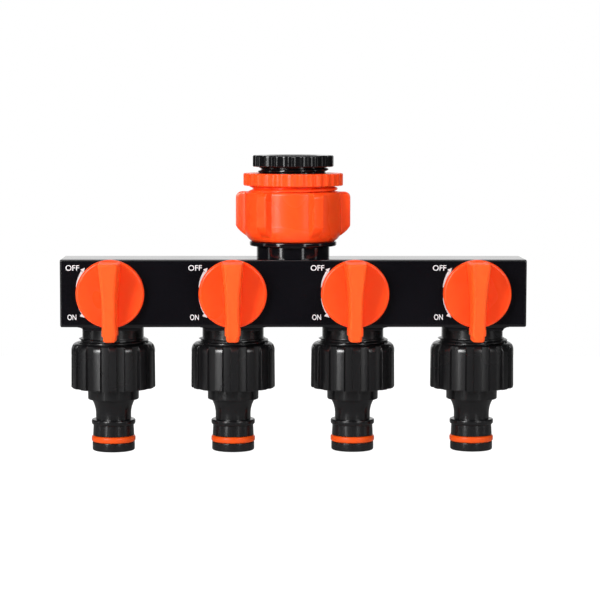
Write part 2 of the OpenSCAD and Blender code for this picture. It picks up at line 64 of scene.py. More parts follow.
scene = bpy.context.scene
camera = bpy.data.objects.new("camera", bpy.data.cameras.new("camera"))
camera.data.lens = CAMERA_LENS
camera.data.sensor_width = 36
camera.matrix_world = (
    Matrix.Translation(CAMERA_PLACE)
    @ Matrix.Rotation(math.radians(CAMERA_YAW), 4, "Z")
    @ Matrix.Rotation(math.radians(90 - CAMERA_DIP), 4, "X")
    @ Matrix.Rotation(math.radians(CAMERA_ROLL), 4, "Z")
)
scene.collection.objects.link(camera)
scene.camera = camera

# Manifold bar.
# A hollow box moulded in glossy black plastic, flat in front and round behind. The neck with its thin
# flange, which the inlet nut turns on, and the pads under the front edge belong to the same moulding.
MM = 0.001
BAR_HALF_LENGTH = 86
BAR_FRONT = -15.5
BAR_BACK = 15.5
BAR_TOP = -38.1
BAR_BOTTOM = -63.1
BAR_WALL = 3
BAR_REAR_ROUND = 9.5
BAR_FRONT_ROUND = 1
BAR_END_ROUND = 0.6
OUTLET_X = {1: -67.5, 2: -22.5, 3: 22.5, 4: 67.5}
VALVE_HEIGHT = -50.6
NECK_RADIUS = 13.65
NECK_ROOT = 14.5
NECK_SINK = 0.02
NECK_FLANGE = 16.28
NECK_FLANGE_TOP = -32.1
NECK_FLANGE_BOTTOM = -33.75
TAILPIECE_HOLE = 11.15
CUP_HOLE = 10.2
NECK_HOLE = 11.55
BONNET_HOLE = 8.05
BONNET_RECESS = 9.55
BONNET_RECESS_DEPTH = 1.2
PAD_HALF_WIDTH = 12
PAD_FOOT_HALF_WIDTH = 9.9
PAD_HEIGHT = 1.3
PAD_DEPTH = 9
PAD_INSET = 0.05
PAD_ROUND = 0.4
PAST = 1
SAME_POINT = 1e-4
SAME_LINE = 1e-3
NEAR = 0.01
SHARP_ANGLE = 38
PLAIN_STEPS = 128
REAR_STEPS = 14


def round_edges(bm, edges, radius, segments):
    """Rounds some edges of a solid."""
    bmesh.ops.bevel(
        bm, geom=edges, offset=radius, offset_type="OFFSET", affect="EDGES",
        segments=segments, profile=0.5, material=-1,
    )


def make_block(low, high):
    """Square block between two corners."""
    bm = bmesh.new()
    bmesh.ops.create_cube(bm, size=1)
    bmesh.ops.scale(bm, vec=[b - a for a, b in zip(low, high)], verts=bm.verts)
    bmesh.ops.translate(bm, vec=[(a + b) / 2 for a, b in zip(low, high)], verts=bm.verts)
    return bm


def long_edges(bm, side):
    """The edges of a block that run along the bar, in front (-1) or behind (1)."""
    return [
        edge for edge in bm.edges
        if abs(edge.verts[0].co.x - edge.verts[1].co.x) > PAST and edge.verts[0].co.y * side > 0
    ]


def end_edges(bm, x):
    """The edges round the end of a block."""
    return [edge for edge in bm.edges if all(abs(vert.co.x - x) < NEAR for vert in edge.verts)]


def make_rod(radius, start, end):
    """Round rod from one point to another."""
    start, end = Vector(start), Vector(end)
    turn = (end - start).to_track_quat("Z", "Y").to_matrix().to_4x4()
    bm = bmesh.new()
    bmesh.ops.create_cone(
        bm, cap_ends=True, cap_tris=False, segments=PLAIN_STEPS, radius1=radius, radius2=radius,
        depth=(end - start).length, matrix=Matrix.Translation((start + end) / 2) @ turn,
    )
    return bm


def draw_outline(corners):
    """Closed wire outline beside the upright axis, from corners of (radius, height, rounding)."""
    bm = bmesh.new()
    verts = [bm.verts.new((radius, 0, height)) for radius, height, _ in corners]
    for start, end in zip(verts, verts[1:] + verts[:1]):
        bm.edges.new((start, end))
    for vert, (_, _, rounding) in zip(verts, corners):
        if rounding:
            bmesh.ops.bevel(
                bm, geom=[vert], offset=rounding, offset_type="OFFSET", affect="VERTICES",
                segments=5, profile=0.5, material=-1,
            )
    return bm


def turn_outline(bm, steps=PLAIN_STEPS):
    """Turns a wire outline once round the upright axis into a closed ring."""
    bmesh.ops.spin(
        bm, geom=bm.verts[:] + bm.edges[:], cent=(0, 0, 0), axis=(0, 0, 1), dvec=(0, 0, 0),
        angle=math.tau, steps=steps, use_merge=True, use_duplicate=False,
    )
    bmesh.ops.remove_doubles(bm, verts=bm.verts, dist=SAME_POINT)
    bmesh.ops.recalc_face_normals(bm, faces=bm.faces)
    return bm


def repeat_at_outlets(bm):
    """Repeats a shape, drawn at the bar's middle, at each outlet."""
    drawn = bm.verts[:] + bm.edges[:] + bm.faces[:]
    middle = bm.verts[:]
    for x in OUTLET_X.values():
        copy = bmesh.ops.duplicate(bm, geom=drawn)["geom"]
        bmesh.ops.translate(
            bm, vec=(x, 0, 0), verts=[item for item in copy if isinstance(item, bmesh.types.BMVert)]
        )
    bmesh.ops.delete(bm, geom=middle, context="VERTS")
    return bm


def combine(first, second, operation):
    """Joins two solids into one, or cuts the second out of the first."""
    halves = []
    for name, bm in (("first", first), ("second", second)):
        half = bpy.data.objects.new(name, bpy.data.meshes.new(name))
        bm.to_mesh(half.data)
        bm.free()
        scene.collection.objects.link(half)
        halves.append(half)
    step = halves[0].modifiers.new("step", "BOOLEAN")
    step.operation = operation
    step.object = halves[1]
    step.solver = "EXACT"
    result = bmesh.new()
    result.from_object(halves[0], bpy.context.evaluated_depsgraph_get())
    for half in halves:
        mesh = half.data
        bpy.data.objects.remove(half)
        bpy.data.meshes.remove(mesh)
    return result


def set_piece(bm, name, material, slot, body, *nodes):
    """Hangs a finished solid, drawn in millimetres, on its body in place of its CAD nodes."""
    bmesh.ops.remove_doubles(bm, verts=bm.verts, dist=SAME_POINT)
    bmesh.ops.scale(bm, vec=(MM, MM, MM), verts=bm.verts)
    for face in bm.faces:
        face.smooth = True
    for edge in bm.edges:
        edge.smooth = edge.calc_face_angle(0) < math.radians(SHARP_ANGLE)
    piece = bpy.data.objects.new(name, bpy.data.meshes.new(name))
    bm.to_mesh(piece.data)
    bm.free()
    piece.data.materials.append(material)
    scene.collection.objects.link(piece)
    even = piece.modifiers.new("even_shading", "WEIGHTED_NORMAL")
    even.keep_sharp = True
    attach(piece, body)
    if nodes:
        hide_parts(*nodes)


def make_pad():
    """Pad under the bar's front edge, with a hollow sweep at each side, rooted in the bar's wall."""
    sweep = [math.radians(angle) for angle in range(0, 91, 15)]
    reach = PAD_HALF_WIDTH - PAD_FOOT_HALF_WIDTH
    right = [(PAD_HALF_WIDTH, BAR_BOTTOM + BAR_WALL / 2)] + [
        (PAD_HALF_WIDTH - reach * math.sin(angle), BAR_BOTTOM - PAD_HEIGHT * (1 - math.cos(angle)))
        for angle in sweep
    ]
    bm = bmesh.new()
    corners = right + [(-across, height) for across, height in reversed(right)]
    front = BAR_FRONT + PAD_INSET
    face = bm.faces.new([bm.verts.new((across, front, height)) for across, height in corners])
    back = bmesh.ops.extrude_face_region(bm, geom=[face])["geom"]
    bmesh.ops.translate(
        bm, vec=(0, PAD_DEPTH, 0), verts=[item for item in back if isinstance(item, bmesh.types.BMVert)]
    )
    bmesh.ops.recalc_face_normals(bm, faces=bm.faces)
    foot = BAR_BOTTOM - PAD_HEIGHT + NEAR
    lower_front = [
        edge for edge in bm.edges
        if all(vert.co.z < foot and vert.co.y < BAR_FRONT + PAST for vert in edge.verts)
    ]
    round_edges(bm, lower_front, PAD_ROUND, segments=3)
    return bm


bar = make_block((-BAR_HALF_LENGTH, BAR_FRONT, BAR_BOTTOM), (BAR_HALF_LENGTH, BAR_BACK, BAR_TOP))
round_edges(bar, long_edges(bar, 1), BAR_REAR_ROUND, REAR_STEPS)
round_edges(bar, long_edges(bar, -1), BAR_FRONT_ROUND, segments=5)
for end in (-BAR_HALF_LENGTH, BAR_HALF_LENGTH):
    round_edges(bar, end_edges(bar, end), BAR_END_ROUND, segments=3)
neck_foot = BAR_TOP - NECK_SINK
bar = combine(bar, turn_outline(draw_outline([
    (TAILPIECE_HOLE, NECK_FLANGE_TOP, 0.2), (NECK_FLANGE, NECK_FLANGE_TOP, 0.4),
    (NECK_FLANGE, NECK_FLANGE_BOTTOM, 0.5), (NECK_RADIUS, NECK_FLANGE_BOTTOM, 0.35),
    (NECK_RADIUS, neck_foot, 0.12), (NECK_ROOT, neck_foot, 0), (NECK_ROOT, BAR_TOP - PAST, 0),
    (TAILPIECE_HOLE, BAR_TOP - PAST, 0),
])), "UNION")
bar = combine(bar, repeat_at_outlets(make_pad()), "UNION")
hollow = make_block(
    (-BAR_HALF_LENGTH - PAST, BAR_FRONT + BAR_WALL, BAR_BOTTOM + BAR_WALL),
    (BAR_HALF_LENGTH + PAST, BAR_BACK - BAR_WALL, BAR_TOP - BAR_WALL),
)
round_edges(hollow, long_edges(hollow, 1), BAR_REAR_ROUND - BAR_WALL, REAR_STEPS)
bar = combine(bar, hollow, "DIFFERENCE")
tailpiece_hole = make_rod(TAILPIECE_HOLE, (0, 0, BAR_TOP + PAST), (0, 0, BAR_TOP - BAR_WALL - PAST))
bar = combine(bar, tailpiece_hole, "DIFFERENCE")
for rod in (
    make_rod(CUP_HOLE, (0, 0, BAR_BOTTOM + BAR_WALL + PAST), (0, 0, BAR_BOTTOM - PAST)),
    make_rod(NECK_HOLE, (0, 0, BAR_BOTTOM), (0, 0, BAR_BOTTOM - PAD_HEIGHT - PAST)),
    make_rod(
        BONNET_HOLE, (0, BAR_FRONT - PAST, VALVE_HEIGHT), (0, BAR_FRONT + BAR_WALL + PAST, VALVE_HEIGHT)
    ),
    make_rod(
        BONNET_RECESS, (0, BAR_FRONT - PAST, VALVE_HEIGHT),
        (0, BAR_FRONT + BONNET_RECESS_DEPTH, VALVE_HEIGHT),
    ),
):
    bar = combine(bar, repeat_at_outlets(rod), "DIFFERENCE")

# The skin that a mould leaves on plastic: a fine grain, a slow drift of tone and gloss, and a few flecks.
DRIFT_RANGE = (0.2, 0.8)
FLECK_RANGE = (0.05, 0.02)
moulded_skin = bpy.data.node_groups.new("moulded_skin", "ShaderNodeTree")
for name, value in (
    ("Grain Size", 1500), ("Drift Size", 45), ("Fleck Size", 180), ("Smooth", 0.2), ("Rough", 0.3),
):
    socket = moulded_skin.interface.new_socket(name, in_out="INPUT", socket_type="NodeSocketFloat")
    socket.default_value = value
for name in ("Tone", "Roughness", "Height", "Fleck"):
    moulded_skin.interface.new_socket(name, in_out="OUTPUT", socket_type="NodeSocketFloat")
skin_in = moulded_skin.nodes.new("NodeGroupInput")
skin_out = moulded_skin.nodes.new("NodeGroupOutput")
place = moulded_skin.nodes.new("ShaderNodeTexCoord")
grain = moulded_skin.nodes.new("ShaderNodeTexNoise")
grain.inputs["Detail"].default_value = 3
drift = moulded_skin.nodes.new("ShaderNodeTexNoise")
drift.inputs["Detail"].default_value = 1.5
flecks = moulded_skin.nodes.new("ShaderNodeTexVoronoi")
tone = moulded_skin.nodes.new("ShaderNodeMapRange")
gloss = moulded_skin.nodes.new("ShaderNodeMapRange")
fleck = moulded_skin.nodes.new("ShaderNodeMapRange")
for spread, (low, high) in ((tone, DRIFT_RANGE), (gloss, DRIFT_RANGE), (fleck, FLECK_RANGE)):
    spread.inputs["From Min"].default_value = low
    spread.inputs["From Max"].default_value = high
link = moulded_skin.links.new
for pattern, size in ((grain, "Grain Size"), (drift, "Drift Size"), (flecks, "Fleck Size")):
    link(place.outputs["Object"], pattern.inputs["Vector"])
    link(skin_in.outputs[size], pattern.inputs["Scale"])
link(drift.outputs["Fac"], tone.inputs["Value"])
link(drift.outputs["Fac"], gloss.inputs["Value"])
link(skin_in.outputs["Smooth"], gloss.inputs["To Min"])
link(skin_in.outputs["Rough"], gloss.inputs["To Max"])
link(flecks.outputs["Distance"], fleck.inputs["Value"])
link(tone.outputs["Result"], skin_out.inputs["Tone"])
link(gloss.outputs["Result"], skin_out.inputs["Roughness"])
link(grain.outputs["Fac"], skin_out.inputs["Height"])
link(fleck.outputs["Result"], skin_out.inputs["Fleck"])

# Where a mix node keeps its colour sockets.
COLOUR_A, COLOUR_B, COLOUR_MIXED = 6, 7, 2


def make_finish(name, deep, pale, fleck_colour, smooth, rough, grain_size, relief, shine=0.5, glow=0):
    """Moulded finish that drifts between two tones, with a fine grain and flecks of a third."""
    material = bpy.data.materials.new(name)
    material.use_nodes = True
    nodes, join = material.node_tree.nodes, material.node_tree.links.new
    shader = nodes["Principled BSDF"]
    shader.inputs["Specular IOR Level"].default_value = shine
    shader.inputs["Subsurface Weight"].default_value = glow
    shader.inputs["Subsurface Radius"].default_value = (1, 0.12, 0.05)
    shader.inputs["Subsurface Scale"].default_value = 0.005
    skin = nodes.new("ShaderNodeGroup")
    skin.node_tree = moulded_skin
    skin.inputs["Grain Size"].default_value = grain_size
    skin.inputs["Smooth"].default_value = smooth
    skin.inputs["Rough"].default_value = rough
    tint = nodes.new("ShaderNodeMix")
    tint.data_type = "RGBA"
    tint.inputs[COLOUR_A].default_value = (*deep, 1)
    tint.inputs[COLOUR_B].default_value = (*pale, 1)
    speckle = nodes.new("ShaderNodeMix")
    speckle.data_type = "RGBA"
    speckle.inputs[COLOUR_B].default_value = (*fleck_colour, 1)
    bump = nodes.new("ShaderNodeBump")
    bump.inputs["Strength"].default_value = 0.4
    bump.inputs["Distance"].default_value = relief
    join(skin.outputs["Tone"], tint.inputs["Factor"])
    join(tint.outputs[COLOUR_MIXED], speckle.inputs[COLOUR_A])
    join(skin.outputs["Fleck"], speckle.inputs["Factor"])
    join(speckle.outputs[COLOUR_MIXED], shader.inputs["Base Color"])
    join(skin.outputs["Roughness"], shader.inputs["Roughness"])
    join(skin.outputs["Height"], bump.inputs["Height"])
    join(bump.outputs["Normal"], shader.inputs["Normal"])
    return material


black_gloss = make_finish(
    "black_gloss", (0.0025, 0.0023, 0.0034), (0.0037, 0.0034, 0.0048), (0.012, 0.012, 0.014),
    smooth=0.08, rough=0.14, grain_size=1800, relief=0.00001,
)
set_piece(bar, "manifold_shell", black_gloss, "black_gloss", "manifold", "manifold_body")

# End plugs.
# Each end of the hollow bar is shut by a black plastic plug, pushed in flush and welded all round.
# The eased rim of the plug leaves a hairline groove along the weld.
PLUG_DEPTH = 5
WELD_GAP = 0.05
PLUG_EASE = 0.3
plug_inset = BAR_WALL + WELD_GAP
for side, end in (("left", -1), ("right", 1)):
    outer, inner = end * BAR_HALF_LENGTH, end * (BAR_HALF_LENGTH - PLUG_DEPTH)
    plug = make_block(
        (min(outer, inner), BAR_FRONT + plug_inset, BAR_BOTTOM + plug_inset),
        (max(outer, inner), BAR_BACK - plug_inset, BAR_TOP - plug_inset),
    )
    round_edges(plug, long_edges(plug, 1), BAR_REAR_ROUND - plug_inset, REAR_STEPS)
    round_edges(plug, end_edges(plug, outer), PLUG_EASE, segments=2)
    set_piece(plug, f"end_cap_{side}", black_gloss, "black_gloss", "manifold", f"end_plug_{side}")

# Printed marks.
# White ink pad-printed on the bar's front at the left of each knob: the words OFF and ON, and two
# curved arrows round the knob that point to them.
INK_THICKNESS = 0.03
LETTER_WEIGHT = 0.01
ARROW_INSIDE = 12.35
ARROW_STEPS = 12
OFF_ARROW = ((169.5, 12.8), (142, 13.5), (140.8, 14.05), (134.3, 13.25))
ON_ARROW = ((187.5, 12.65), (214, 12.95), (216.4, 14.0), (223.5, 12.95))
OFF_BOX = ((-16.33, 8.45), (-11.35, 10.5))
ON_BOX = ((-15.75, -9.77), (-12.5, -7.72))
marks = bmesh.new()


def print_word(word, box):
    """Letters of a plain typeface on the bar's front, fitted in a box beside a knob's centre."""
    (left, low), (right, high) = box
    curve = bpy.data.curves.new(word, "FONT")
    curve.body = word
    curve.offset = LETTER_WEIGHT
    letters = bpy.data.objects.new(word, curve)
    scene.collection.objects.link(letters)
    flat = bpy.data.meshes.new_from_object(letters.evaluated_get(bpy.context.evaluated_depsgraph_get()))
    across = [vert.co.x for vert in flat.vertices]
    up = [vert.co.y for vert in flat.vertices]
    flat.transform(
        Matrix.Translation((left, BAR_FRONT, VALVE_HEIGHT + low))
        @ Matrix.Rotation(math.pi / 2, 4, "X")
        @ Matrix.Diagonal(
            ((right - left) / (max(across) - min(across)), (high - low) / (max(up) - min(up)), 1, 1)
        )
        @ Matrix.Translation((-min(across), -min(up), 0))
    )
    marks.from_mesh(flat)
    bpy.data.objects.remove(letters)
    bpy.data.curves.remove(curve)
    bpy.data.meshes.remove(flat)


def print_arrow(tail, neck, barb, tip):
    """Curved arrow round a knob: a band that widens from its tail to its neck, and a pointed head."""
    def spot(angle, radius):
        turn = math.radians(angle)
        return marks.verts.new((radius * math.cos(turn), BAR_FRONT, VALVE_HEIGHT + radius * math.sin(turn)))

    arcs = []
    for start, end in (((tail[0], ARROW_INSIDE), (neck[0], ARROW_INSIDE)), (tail, neck)):
        verts = [
            spot(*(a + (b - a) * step / ARROW_STEPS for a, b in zip(start, end)))
            for step in range(ARROW_STEPS + 1)
        ]
        arcs += [marks.edges.new(pair) for pair in zip(verts, verts[1:])]
    bmesh.ops.bridge_loops(marks, edges=arcs)
    marks.faces.new((spot(neck[0], ARROW_INSIDE), spot(*barb), spot(*tip)))


print_word("OFF", OFF_BOX)
print_word("ON", ON_BOX)
print_arrow(*OFF_ARROW)
print_arrow(*ON_ARROW)
repeat_at_outlets(marks)
raised = bmesh.ops.extrude_face_region(marks, geom=marks.faces[:])["geom"]
bmesh.ops.translate(
    marks, vec=(0, -INK_THICKNESS, 0),
    verts=[item for item in raised if isinstance(item, bmesh.types.BMVert)],
)
bmesh.ops.recalc_face_normals(marks, faces=marks.faces)
white_ink = make_finish(
    "white_ink", (0.56, 0.56, 0.57), (0.64, 0.64, 0.65), (0.42, 0.42, 0.42),
    smooth=0.4, rough=0.55, grain_size=2500, relief=0.000008,
)
set_piece(marks, "front_marks", white_ink, "black_gloss", "manifold")

# Inlet tailpiece and flat washers.
# The tailpiece is a headed black tube welded into the neck, and its head holds the swivel nut down.
# Flat black rubber washers seal it, the two reducer rings and the outlets' spigots.
black_satin = make_finish(
    "black_satin", (0.0036, 0.0035, 0.004), (0.0056, 0.0054, 0.006), (0.016, 0.016, 0.016),
    smooth=0.2, rough=0.3, grain_size=1500, relief=0.00002,
)
black_rubber = make_finish(
    "black_rubber", (0.016, 0.016, 0.016), (0.028, 0.027, 0.026), (0.06, 0.06, 0.06),
    smooth=0.6, rough=0.8, grain_size=1200, relief=0.00004,
)


def dress(node, material):
    """Gives a CAD node that keeps its own shape its finish."""
    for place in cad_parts[node].material_slots:
        place.material = material


dress("inlet_tailpiece", black_satin)
for node in ("inlet_washer", "large_reducer_washer", "tap_washer"):
    dress(node, black_rubber)
for outlet in OUTLET_X:
    dress(f"connector_washer_{outlet}", black_rubber)

# Inlet swivel nut.
# Moulded in orange plastic, with six grip lobes that run out in soft hollows, a bowl-shaped foot and
# a fine parting line. It turns on the neck's flange, and its thread takes the large reducer ring.
NUT_BORE = 16.72
NUT_RADIUS = 18.1
NUT_TOP = -13.55
NUT_BOTTOM = -32
NUT_LIP_TOP = -26.5
NUT_LIP_BORE = 11.2
FOOT_ROUND = 5
FOOT_CENTRE = (13.1, -27.6)
FOOT_SWEEP = 61.6
FOOT_STEPS = 12
LOBE_RADIUS = 21.43
LOBE_ROUND = 2.2
LOBE_FOOT = -26.2
LOBE_FALL = (0.484, 0.136)
LOBE_COUNT = 6
LOBE_TURN = -65
LOBE_FLAT = 1.95
LOBE_EDGE = 3.05
PARTING_HEIGHT = -26.4
PARTING_RISE = 0.07
PARTING_HALF = 0.3
NUT_WALL_STEP = 0.25
NUT_STEPS = 720
orange_plastic = make_finish(
    "orange_plastic", (0.98, 0.071, 0.0085), (1.0, 0.079, 0.011), (1.0, 0.105, 0.02),
    smooth=0.24, rough=0.34, grain_size=1600, relief=0.00002, shine=0.3, glow=0.35,
)


def ease(low, high, value):
    """Smooth step from 0 at low to 1 at high."""
    share = min(1, max(0, (value - low) / (high - low)))
    return share * share * (3 - 2 * share)


def divide_wall(bm, radius, step):
    """Cuts the straight upright lines of an outline, at one radius, into short steps."""
    for edge in [e for e in bm.edges if all(abs(vert.co.x - radius) < SAME_LINE for vert in e.verts)]:
        bmesh.ops.subdivide_edges(bm, edges=[edge], cuts=int(edge.calc_length() / step))


def push_out(vert, radius):
    """Moves a point straight out from, or in to, the upright axis."""
    share = radius / math.hypot(vert.co.x, vert.co.y)
    vert.co.x *= share
    vert.co.y *= share


def lobe_reach(height):
    """How far a lobe stands from the axis at one height: rounded above, upright, curving in below."""
    if height > NUT_TOP - LOBE_ROUND:
        rise = height - (NUT_TOP - LOBE_ROUND)
        return LOBE_RADIUS - LOBE_ROUND + math.sqrt(max(0, LOBE_ROUND**2 - rise**2))
    below = max(0, LOBE_FOOT - height)
    return LOBE_RADIUS - LOBE_FALL[0] * below - LOBE_FALL[1] * below**2


foot = [
    (FOOT_CENTRE[0] + FOOT_ROUND * math.cos(turn), FOOT_CENTRE[1] - FOOT_ROUND * math.sin(turn), 0)
    for turn in (math.radians(FOOT_SWEEP * step / FOOT_STEPS) for step in range(1, FOOT_STEPS + 1))
]
nut = draw_outline(
    [(NUT_BORE, NUT_TOP, 0.3), (NUT_RADIUS, NUT_TOP, 0.9), (NUT_RADIUS, FOOT_CENTRE[1], 0)] + foot
    + [(NUT_LIP_BORE, NUT_BOTTOM, 0.3), (NUT_LIP_BORE, NUT_LIP_TOP, 0), (NUT_BORE, NUT_LIP_TOP, 0)]
)
divide_wall(nut, NUT_RADIUS, NUT_WALL_STEP)
turn_outline(nut, NUT_STEPS)
for vert in nut.verts:
    radius = math.hypot(vert.co.x, vert.co.y)
    in_bore = radius < NUT_RADIUS - PAST and vert.co.z > FOOT_CENTRE[1]
    if in_bore or vert.co.z < NUT_BOTTOM + NEAR:
        continue
    angle = math.degrees(math.atan2(vert.co.y, vert.co.x)) - LOBE_TURN
    pitch = 360 / LOBE_COUNT
    away = abs((angle + pitch / 2) % pitch - pitch / 2)
    lobe = 1 - ease(LOBE_FLAT, LOBE_EDGE, math.radians(away) * LOBE_RADIUS)
    parting = PARTING_RISE * max(0, 1 - abs(vert.co.z - PARTING_HEIGHT) / PARTING_HALF)
    push_out(vert, radius + max(0, lobe_reach(vert.co.z) - radius) * lobe + parting * (1 - lobe))
set_piece(nut, "swivel_nut_shell", orange_plastic, "orange_plastic", "swivel_nut", "inlet_nut")

# Large reducer ring.
# Orange plastic, fluted round its flange for the fingers. It screws into the swivel nut with a 1 inch
# pipe thread, of which one turn shows, and takes the small ring in its 3/4 inch socket.
LARGE_FLANGE = 18.6
LARGE_TOP = -6.7
LARGE_FLANGE_BOTTOM = -11.3
LARGE_END = -20.4
INCH_ROOT = 15.15
INCH_CREST = 16.62
INCH_PITCH = 2.309
INCH_STEP = 0.2
THREAD_FOOT = 0.38
THREAD_FLANK = 0.25
THREAD_RUN_OUT = 0.4
SOCKET_BORE = 13.32
SOCKET_POCKET = 13.62
POCKET_TOP = -15.2
POCKET_FLOOR = -17.2
LARGE_WATERWAY = 8.5
FLUTES = 32
FLUTE_STEPS = 15
FLUTE_INSIDE = INCH_CREST + 1
FLUTE_DEPTH = 0.35
FLUTE_SHARE = 0.75
FLUTE_TURN = 3


def cut_thread(bm, root, crest, pitch, top, bottom):
    """Raises a right-hand ridge on a plain wall, or sinks a groove in one, between two heights."""
    for vert in bm.verts:
        if abs(math.hypot(vert.co.x, vert.co.y) - root) > NEAR or not bottom <= vert.co.z <= top:
            continue
        turn = ((top - vert.co.z) / pitch + math.atan2(vert.co.y, vert.co.x) / math.tau) % 1
        ridge = min(1, max(0, (THREAD_FOOT - abs(turn - 0.5)) / THREAD_FLANK))
        run_out = min(1, (top - vert.co.z) / THREAD_RUN_OUT, (vert.co.z - bottom) / THREAD_RUN_OUT)
        push_out(vert, root + (crest - root) * ridge * run_out)


def cut_scallops(bm, inside, count, depth, share, turned):
    """Hollows the rim of a flange all round, one hollow turned this far from the front."""
    for vert in bm.verts:
        radius = math.hypot(vert.co.x, vert.co.y)
        if radius > inside:
            angle = math.degrees(math.atan2(vert.co.y, vert.co.x)) + 90 - turned
            away = abs(angle * count / 360 - round(angle * count / 360)) * 2 / share
            push_out(vert, radius - depth * max(0, 1 - away * away))


large_ring = draw_outline([
    (SOCKET_BORE, LARGE_TOP, 0.4), (LARGE_FLANGE, LARGE_TOP, 0.5), (LARGE_FLANGE, LARGE_FLANGE_BOTTOM, 0.4),
    (INCH_ROOT, LARGE_FLANGE_BOTTOM, 0), (INCH_ROOT, LARGE_END, 0), (LARGE_WATERWAY, LARGE_END, 0.2),
    (LARGE_WATERWAY, POCKET_FLOOR, 0), (SOCKET_POCKET, POCKET_FLOOR, 0), (SOCKET_POCKET, POCKET_TOP, 0),
    (SOCKET_BORE, POCKET_TOP, 0),
])
divide_wall(large_ring, INCH_ROOT, INCH_STEP)
turn_outline(large_ring, FLUTES * FLUTE_STEPS)
cut_scallops(large_ring, FLUTE_INSIDE, FLUTES, FLUTE_DEPTH, FLUTE_SHARE, FLUTE_TURN)
cut_thread(large_ring, INCH_ROOT, INCH_CREST, INCH_PITCH, LARGE_FLANGE_BOTTOM, LARGE_END)
set_piece(large_ring, "large_ring_shell", orange_plastic, "orange_plastic", "large_ring", "large_reducer")

# Small reducer ring.
# Black plastic, with finger scallops round its flange. It screws into the large ring with a 3/4 inch
# pipe thread, and the thread in its bore takes the spout of a 1/2 inch tap.
SMALL_FLANGE = 15.12
SMALL_FLANGE_BOTTOM = -4.3
SMALL_END = POCKET_TOP
TAP_BORE = 9.32
TAP_LEAD = 0.7
TAP_GROOVE = 10.3
TAP_DEPTH = -10
TAP_FLOOR = -12
TAP_POCKET = 9.62
SMALL_WATERWAY = 6.5
THREE_QUARTER_ROOT = 12.06
THREE_QUARTER_CREST = 13.22
THREE_QUARTER_PITCH = 1.814
THREE_QUARTER_STEP = 0.15
SCALLOPS = 18
SCALLOP_STEPS = 16
SCALLOP_INSIDE = THREE_QUARTER_CREST + 0.5
SCALLOP_DEPTH = 0.6
SCALLOP_SHARE = 0.75
SCALLOP_TURN = 4
small_ring = draw_outline([
    (TAP_BORE + TAP_LEAD, 0, 0.3), (SMALL_FLANGE, 0, 0.6), (SMALL_FLANGE, SMALL_FLANGE_BOTTOM, 0.4),
    (THREE_QUARTER_ROOT, SMALL_FLANGE_BOTTOM, 0), (THREE_QUARTER_ROOT, SMALL_END, 0),
    (SMALL_WATERWAY, SMALL_END, 0.2), (SMALL_WATERWAY, TAP_FLOOR, 0), (TAP_POCKET, TAP_FLOOR, 0),
    (TAP_POCKET, TAP_DEPTH, 0), (TAP_BORE, TAP_DEPTH, 0), (TAP_BORE, -TAP_LEAD, 0),
])
for wall in (TAP_BORE, THREE_QUARTER_ROOT):
    divide_wall(small_ring, wall, THREE_QUARTER_STEP)
turn_outline(small_ring, SCALLOPS * SCALLOP_STEPS)
cut_scallops(small_ring, SCALLOP_INSIDE, SCALLOPS, SCALLOP_DEPTH, SCALLOP_SHARE, SCALLOP_TURN)
for root, crest, top, bottom in (
    (THREE_QUARTER_ROOT, THREE_QUARTER_CREST, SMALL_FLANGE_BOTTOM, SMALL_END),
    (TAP_BORE, TAP_GROOVE, -TAP_LEAD, TAP_DEPTH),
):
    cut_thread(small_ring, root, crest, THREE_QUARTER_PITCH, top, bottom)
black_ring = make_finish(
    "black_ring", (0.003, 0.003, 0.0034), (0.0045, 0.0044, 0.005), (0.014, 0.014, 0.014),
    smooth=0.12, rough=0.18, grain_size=1700, relief=0.000015,
)
set_piece(small_ring, "small_ring_shell", black_ring, "black_satin", "small_ring", "small_reducer")

# Valve housings.
# A black moulding at each outlet: a cup inside the bar for the ball, and below the bar a short neck and
# a spigot with a 3/4 inch thread, of which the first turn shows above the connector.
CUP_TOP = -44.29
CUP_BORE = 8.05
CUP_RADIUS = 10.15
CUP_FLOOR = -56.91
CUP_UNDERSIDE = -59.71
WATERWAY = 4.56
OUTLET_NECK = 11.5
THREAD_TOP = -68.4
SPIGOT_BORE = 8.5
SPIGOT_END = -82.1
STEM_COLLAR_HOLE = 5.1
housing = draw_outline([
    (CUP_BORE, CUP_TOP, 0.3), (CUP_RADIUS, CUP_TOP, 0.3), (CUP_RADIUS, BAR_BOTTOM, 0),
    (OUTLET_NECK, BAR_BOTTOM, 0), (OUTLET_NECK, THREAD_TOP, 0.3), (THREE_QUARTER_ROOT, THREAD_TOP, 0),
    (THREE_QUARTER_ROOT, SPIGOT_END, 0), (SPIGOT_BORE, SPIGOT_END, 0.3), (SPIGOT_BORE, CUP_UNDERSIDE, 0),
    (WATERWAY, CUP_UNDERSIDE, 0), (WATERWAY, CUP_FLOOR, 0), (CUP_BORE, CUP_FLOOR, 0),
])
divide_wall(housing, THREE_QUARTER_ROOT, THREE_QUARTER_STEP)
turn_outline(housing)
cut_thread(housing, THREE_QUARTER_ROOT, THREE_QUARTER_CREST, THREE_QUARTER_PITCH, THREAD_TOP, SPIGOT_END)
housing = combine(
    housing,
    make_rod(STEM_COLLAR_HOLE, (0, -CUP_RADIUS - PAST, VALVE_HEIGHT), (0, 0, VALVE_HEIGHT)),
    "DIFFERENCE",
)


def set_at_outlets(bm, name, material, slot, body, node):
    """Sets a copy of a piece, drawn on the axis, at each outlet."""
    for outlet, x in OUTLET_X.items():
        copy = bm.copy()
        bmesh.ops.translate(copy, vec=(x, 0, 0), verts=copy.verts)
        owner = body if body == "manifold" else f"{body}_{outlet}"
        set_piece(copy, f"{name}_{outlet}", material, slot, owner, f"{node}_{outlet}")
    bm.free()


set_at_outlets(housing, "outlet_spigot", black_satin, "black_satin", "manifold", "valve_housing")

